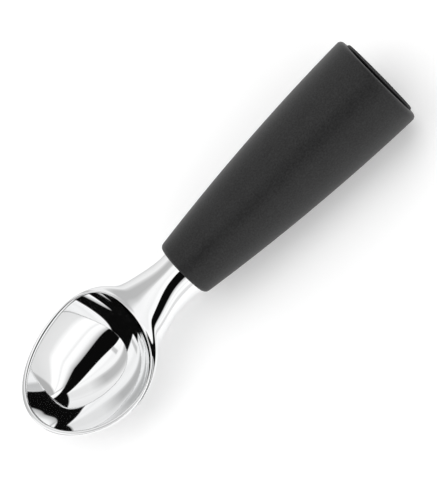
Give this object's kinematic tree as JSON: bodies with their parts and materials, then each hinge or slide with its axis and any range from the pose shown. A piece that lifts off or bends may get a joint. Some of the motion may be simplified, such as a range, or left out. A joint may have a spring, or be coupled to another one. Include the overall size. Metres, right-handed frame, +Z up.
{
  "type": "ice cream scoop",
  "caption": "One-piece ice cream scoop: a mirror-plated oval bowl and neck in a round tapered soft-touch handle closed by a gloss end cap.",
  "frame": {"origin": "middle of the scoop's length, on the table it lies on", "axes": "+X along the handle toward the bowl's tip, +Y across the bowl, +Z up out of the bowl's mouth"},
  "size_m": [0.196, 0.0532, 0.0428],
  "materials": {
    "plated_head": "mirror polished",
    "soft_grip": "matte soft-touch",
    "cap_gloss": "polished",
    "core_plastic": "moulded",
    "seal_rubber": "smooth",
    "screw_steel": "turned"
  },
  "bodies": {
    "root": {"scoop_head": "plated_head", "neck_seal": "seal_rubber", "handle_core": "core_plastic", "grip_sleeve": "soft_grip", "tang_screw": "screw_steel", "flat_washer": "screw_steel", "lock_washer": "screw_steel", "end_cap": "cap_gloss"}
  },
  "joints": []
}
